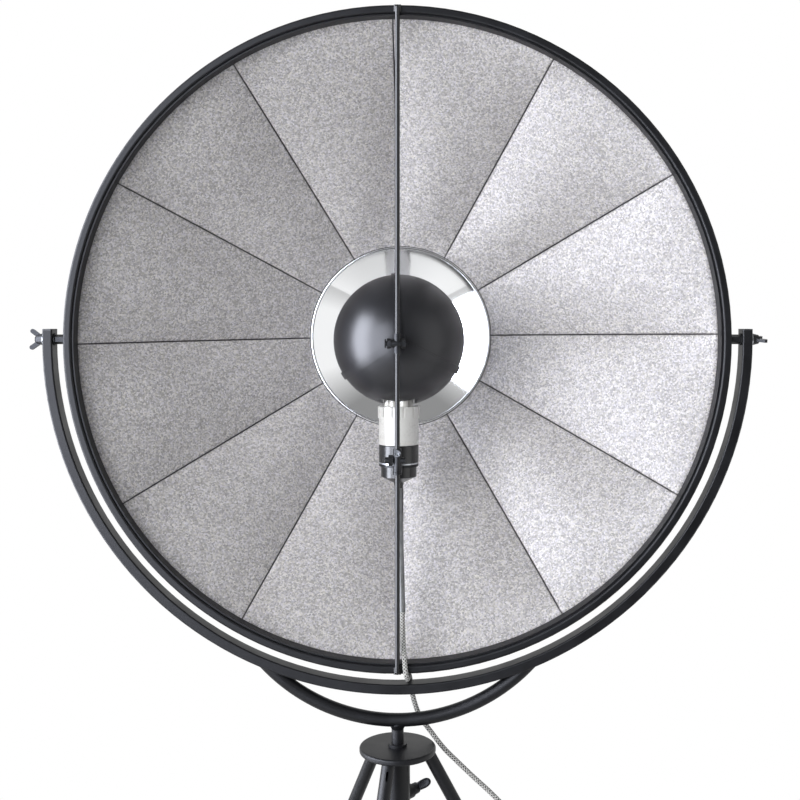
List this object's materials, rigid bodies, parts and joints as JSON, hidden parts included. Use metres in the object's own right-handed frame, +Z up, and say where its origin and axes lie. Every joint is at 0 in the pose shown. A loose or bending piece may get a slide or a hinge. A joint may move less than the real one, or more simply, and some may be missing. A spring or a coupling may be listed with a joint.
{
  "type": "tripod spotlight floor lamp",
  "caption": "Floor lamp with a round, cloth-lined reflector that tilts in a fork on a height-adjustable tripod post; a dome in front of the bulb throws the light back.",
  "frame": {"origin": "on the floor, at the centre of the circle of the three feet, under the post", "axes": "+X to the viewer's right, +Y away from the viewer and behind the reflector, +Z up along the post"},
  "size_m": [0.91, 0.9217, 1.695],
  "materials": {
    "frame_black": "satin black powder coat",
    "foot_rubber": "matt black rubber",
    "dark_hardware": "black oxide, satin",
    "bright_hardware": "bright zinc plating",
    "dark_plastic": "matt black moulded plastic",
    "button_plastic": "satin grey-black moulded plastic",
    "guide_nylon": "natural nylon",
    "silver_cloth": "silver-grey reflector cloth with a fine glitter",
    "black_cloth": "matt black woven cloth",
    "dish_chrome": "bright chrome, lightly satin in the bowl",
    "liner_brass": "bright brass",
    "core_ceramic": "white glazed ceramic",
    "bulb_plastic": "white gloss plastic",
    "bulb_metal": "bright nickel",
    "bulb_glass": "white coated glass",
    "pin_metal": "bright nickel",
    "cord_braid": "grey braided textile over two cores",
    "sleeve_plastic": "grey translucent heat sleeve"
  },
  "bodies": {
    "root": {"feet": "foot_rubber", "leg_right": "frame_black", "leg_left": "frame_black", "leg_front": "frame_black", "tripod_disc": "frame_black", "column_tube": "frame_black", "column_collar": "frame_black", "spreader_hub": "frame_black", "spreader_struts": "frame_black", "spreader_screws": "dark_hardware", "cord_fall": "cord_braid", "cord_floor": "cord_braid", "switch_base": "dark_plastic", "switch_cover": "dark_plastic", "cord_tail": "cord_braid", "cord_coil": "cord_braid", "plug_body": "dark_plastic", "plug_pins": "pin_metal"},
    "column_screw": {"column_screw": "dark_hardware"},
    "guide": {"stem_guide": "guide_nylon"},
    "mast": {"stem": "frame_black", "crescent": "frame_black", "fork": "frame_black", "fork_bushes": "dark_plastic", "fork_end_caps": "dark_plastic", "cord_drop": "cord_braid"},
    "shade": {"rim": "frame_black", "hoop": "frame_black", "pivot_studs": "dark_hardware", "pivot_washers": "bright_hardware", "ribs": "frame_black", "hub_ring": "frame_black", "lining": "silver_cloth", "outer_cover": "black_cloth", "dish": "dish_chrome", "back_cap": "frame_black", "hub_bolt": "bright_hardware", "rod": "frame_black", "dome": "frame_black", "dome_spider": "frame_black", "dome_clamp": "dark_hardware", "dome_clamp_screws": "bright_hardware", "cord_sleeve": "sleeve_plastic", "cord_upper": "cord_braid"},
    "left_wing_nut": {"wing_nut_left": "dark_hardware"},
    "right_wing_nut": {"wing_nut_right": "dark_hardware"},
    "carriage": {"slider": "dark_hardware", "slider_screw": "bright_hardware", "holder_plate": "dark_hardware", "holder_ring": "bright_hardware", "holder_shell": "dark_plastic", "holder_cap": "dark_plastic", "holder_liner": "liner_brass", "holder_core": "core_ceramic", "cord_grip": "dark_plastic", "bulb_thread": "bulb_metal", "bulb_base": "bulb_plastic", "bulb_tubes": "bulb_glass"},
    "thumb_screw": {"thumb_screw": "dark_hardware"},
    "button": {"switch_button": "button_plastic"}
  },
  "joints": [
    {"name": "height_slide", "type": "slide", "parent": "root", "child": "guide", "axis": [0, 0, 1], "range_m": [0, 0.25], "deforming": ["cord_fall"]},
    {"name": "post_swivel", "type": "hinge", "parent": "guide", "child": "mast", "pos_m": [0, 0, 0.953], "axis": [0, 0, 1], "range_deg": [-120, 120], "deforming": ["cord_fall"]},
    {"name": "shade_tilt", "type": "hinge", "parent": "mast", "child": "shade", "pos_m": [0, 0, 1.36], "axis": [1, 0, 0], "range_deg": [-60, 60], "deforming": ["cord_drop"]},
    {"name": "holder_slide", "type": "slide", "parent": "shade", "child": "carriage", "axis": [0, 0, 1], "range_m": [-0.04, 0], "deforming": ["cord_upper", "cord_sleeve"]},
    {"name": "column_screw_turn", "type": "hinge", "parent": "root", "child": "column_screw", "pos_m": [0, 0, 0.898], "axis": [0.6428, 0.766, 0], "continuous": true},
    {"name": "left_wing_nut_turn", "type": "hinge", "parent": "shade", "child": "left_wing_nut", "pos_m": [-0.36, 0, 1.36], "axis": [-1, 0, 0], "continuous": true},
    {"name": "right_wing_nut_turn", "type": "hinge", "parent": "shade", "child": "right_wing_nut", "pos_m": [0.36, 0, 1.36], "axis": [1, 0, 0], "continuous": true},
    {"name": "thumb_screw_turn", "type": "hinge", "parent": "carriage", "child": "thumb_screw", "pos_m": [0, -0.0125, 1.2394], "axis": [-1, 0, 0], "continuous": true},
    {"name": "button_press", "type": "slide", "parent": "root", "child": "button", "axis": [0, 0, -1], "range_m": [0, 0.003], "stiffness_N_per_m": 400}
  ]
}
